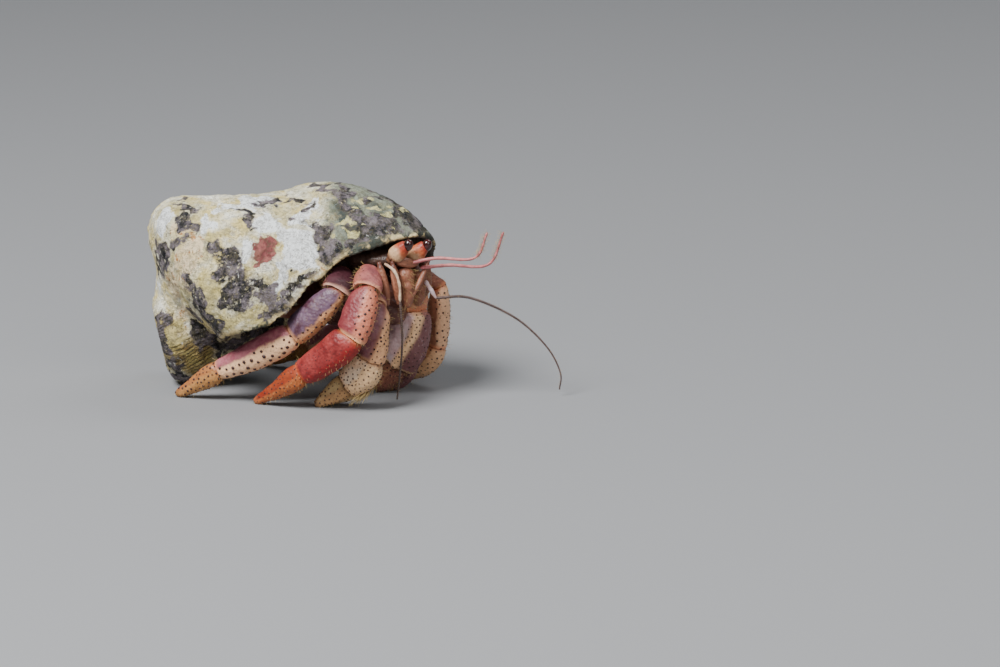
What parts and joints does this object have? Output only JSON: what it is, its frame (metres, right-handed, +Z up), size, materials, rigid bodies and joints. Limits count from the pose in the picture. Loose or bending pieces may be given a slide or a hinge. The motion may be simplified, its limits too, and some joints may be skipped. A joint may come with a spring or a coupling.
{
  "type": "land hermit crab",
  "caption": "Life-size land hermit crab walking in a worn top shell, claws lowered in front and feelers out.",
  "frame": {"origin": "centre of the bounding box, on the floor", "axes": "+X the way the crab faces, +Y its left, +Z up"},
  "size_m": [0.0734, 0.0422, 0.0368],
  "materials": {
    "worn_shell": "worn, chalky",
    "purple_cuticle": "semi-gloss",
    "red_cuticle": "semi-gloss",
    "cream_cuticle": "semi-gloss",
    "lavender_cuticle": "semi-gloss",
    "tan_cuticle": "semi-gloss",
    "soft_skin": "soft, damp",
    "eye": "glossy"
  },
  "bodies": {
    "root": {"shell": "worn_shell", "leg3_right_merus": "purple_cuticle", "leg3_right_carpus": "purple_cuticle", "leg3_right_propodus": "cream_cuticle", "leg3_right_dactyl": "cream_cuticle", "leg2_right_merus": "purple_cuticle", "leg2_right_carpus": "purple_cuticle", "leg2_right_propodus": "red_cuticle", "leg2_right_dactyl": "red_cuticle", "leg2_left_merus": "purple_cuticle", "leg2_left_carpus": "tan_cuticle", "leg2_left_propodus": "tan_cuticle", "leg2_left_dactyl": "tan_cuticle", "leg3_left_merus": "purple_cuticle", "leg3_left_carpus": "purple_cuticle", "leg3_left_propodus": "tan_cuticle", "leg3_left_dactyl": "tan_cuticle", "claw_right_merus": "lavender_cuticle", "claw_right_carpus": "purple_cuticle", "claw_right_hand": "cream_cuticle", "claw_right_finger": "cream_cuticle", "claw_left_merus": "lavender_cuticle", "claw_left_carpus": "lavender_cuticle", "claw_left_hand": "lavender_cuticle", "claw_left_finger": "tan_cuticle", "maxilliped_right": "soft_skin", "maxilliped_left": "soft_skin", "eyestalk_right": "tan_cuticle", "eye_right": "eye", "eyestalk_left": "tan_cuticle", "eye_left": "eye", "antenna_base_right": "cream_cuticle", "antenna_whip_right": "tan_cuticle", "antenna_base_left": "lavender_cuticle", "antenna_whip_left": "tan_cuticle", "antennule_right": "soft_skin", "antennule_left": "soft_skin", "shield": "tan_cuticle", "carapace_rear": "soft_skin", "thorax": "soft_skin", "abdomen": "soft_skin", "leg4_right": "soft_skin", "leg4_left": "soft_skin"}
  },
  "joints": []
}
